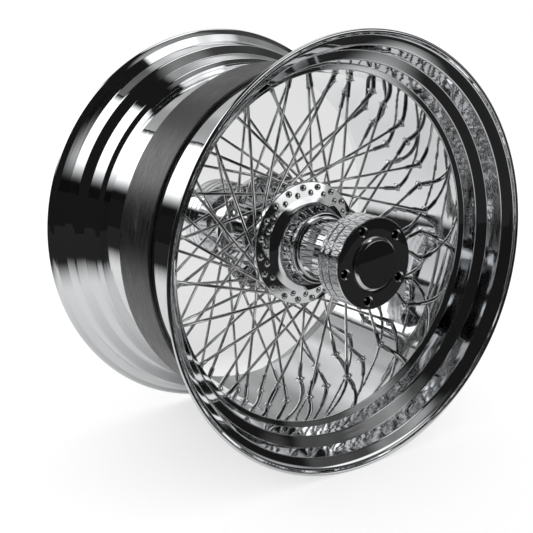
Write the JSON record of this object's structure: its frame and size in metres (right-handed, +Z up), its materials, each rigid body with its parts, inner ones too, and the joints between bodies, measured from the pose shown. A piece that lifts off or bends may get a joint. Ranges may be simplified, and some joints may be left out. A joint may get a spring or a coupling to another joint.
{
  "type": "spoked motorcycle wheel",
  "caption": "Wide chromed steel wheel with a drop-centre rim laced by crossing spokes to a long flanged hub that turns on two roller bearings.",
  "frame": {"origin": "wheel centre on the axle line, midway between the rim's two lips", "axes": "+Y along the axle towards the wheel's rear side, whose bearing cover is open for the axle; +Z up with the valve hole at the top"},
  "size_m": [0.49, 0.3316, 0.49],
  "materials": {
    "chrome": "mirror plated",
    "hub_chrome": "mirror, chrome plated",
    "dark_chrome": "mirror plated, slightly smoked",
    "spoke_steel": "plated wire",
    "rubber": "matte",
    "bearing_steel": "ground",
    "roller_steel": "polished"
  },
  "bodies": {
    "axle_core": {"bearing_inner_race_front": "bearing_steel", "bearing_inner_race_rear": "bearing_steel", "bearing_spacer_tube": "bearing_steel"},
    "wheel": {"rim": "chrome", "rim_band": "rubber", "hub_shell": "hub_chrome", "bearing_outer_race_front": "bearing_steel", "bearing_outer_race_rear": "bearing_steel", "bearing_seal_front": "rubber", "bearing_seal_rear": "rubber", "bearing_cover_front": "dark_chrome", "bearing_cover_rear": "dark_chrome", "spoke_pair_front_01": "spoke_steel", "spoke_pair_front_02": "spoke_steel", "spoke_pair_front_03": "spoke_steel", "spoke_pair_front_04": "spoke_steel", "spoke_pair_front_05": "spoke_steel", "spoke_pair_front_06": "spoke_steel", "spoke_pair_front_07": "spoke_steel", "spoke_pair_front_08": "spoke_steel", "spoke_pair_front_09": "spoke_steel", "spoke_pair_front_10": "spoke_steel", "spoke_pair_front_11": "spoke_steel", "spoke_pair_front_12": "spoke_steel", "spoke_pair_front_13": "spoke_steel", "spoke_pair_front_14": "spoke_steel", "spoke_pair_front_15": "spoke_steel", "spoke_pair_front_16": "spoke_steel", "spoke_pair_front_17": "spoke_steel", "spoke_pair_front_18": "spoke_steel", "spoke_pair_front_19": "spoke_steel", "spoke_pair_front_20": "spoke_steel", "spoke_pair_rear_01": "spoke_steel", "spoke_pair_rear_02": "spoke_steel", "spoke_pair_rear_03": "spoke_steel", "spoke_pair_rear_04": "spoke_steel", "spoke_pair_rear_05": "spoke_steel", "spoke_pair_rear_06": "spoke_steel", "spoke_pair_rear_07": "spoke_steel", "spoke_pair_rear_08": "spoke_steel", "spoke_pair_rear_09": "spoke_steel", "spoke_pair_rear_10": "spoke_steel", "spoke_pair_rear_11": "spoke_steel", "spoke_pair_rear_12": "spoke_steel", "spoke_pair_rear_13": "spoke_steel", "spoke_pair_rear_14": "spoke_steel", "spoke_pair_rear_15": "spoke_steel", "spoke_pair_rear_16": "spoke_steel", "spoke_pair_rear_17": "spoke_steel", "spoke_pair_rear_18": "spoke_steel", "spoke_pair_rear_19": "spoke_steel", "spoke_pair_rear_20": "spoke_steel"},
    "cage_front": {"bearing_rollers_front": "roller_steel"},
    "cage_rear": {"bearing_rollers_rear": "roller_steel"}
  },
  "joints": [
    {"name": "wheel_spin", "type": "hinge", "parent": "axle_core", "child": "wheel", "pos_m": [0, 0, 0], "axis": [0, 1, 0], "continuous": true},
    {"name": "cage_front_spin", "type": "hinge", "parent": "axle_core", "child": "cage_front", "pos_m": [0, -0.1495, 0], "axis": [0, 1, 0], "continuous": true},
    {"name": "cage_rear_spin", "type": "hinge", "parent": "axle_core", "child": "cage_rear", "pos_m": [0, 0.1495, 0], "axis": [0, 1, 0], "continuous": true}
  ],
  "couplings": [
    {"joint": "cage_front_spin", "follows": "wheel_spin", "ratio": 0.57},
    {"joint": "cage_rear_spin", "follows": "wheel_spin", "ratio": 0.57}
  ]
}
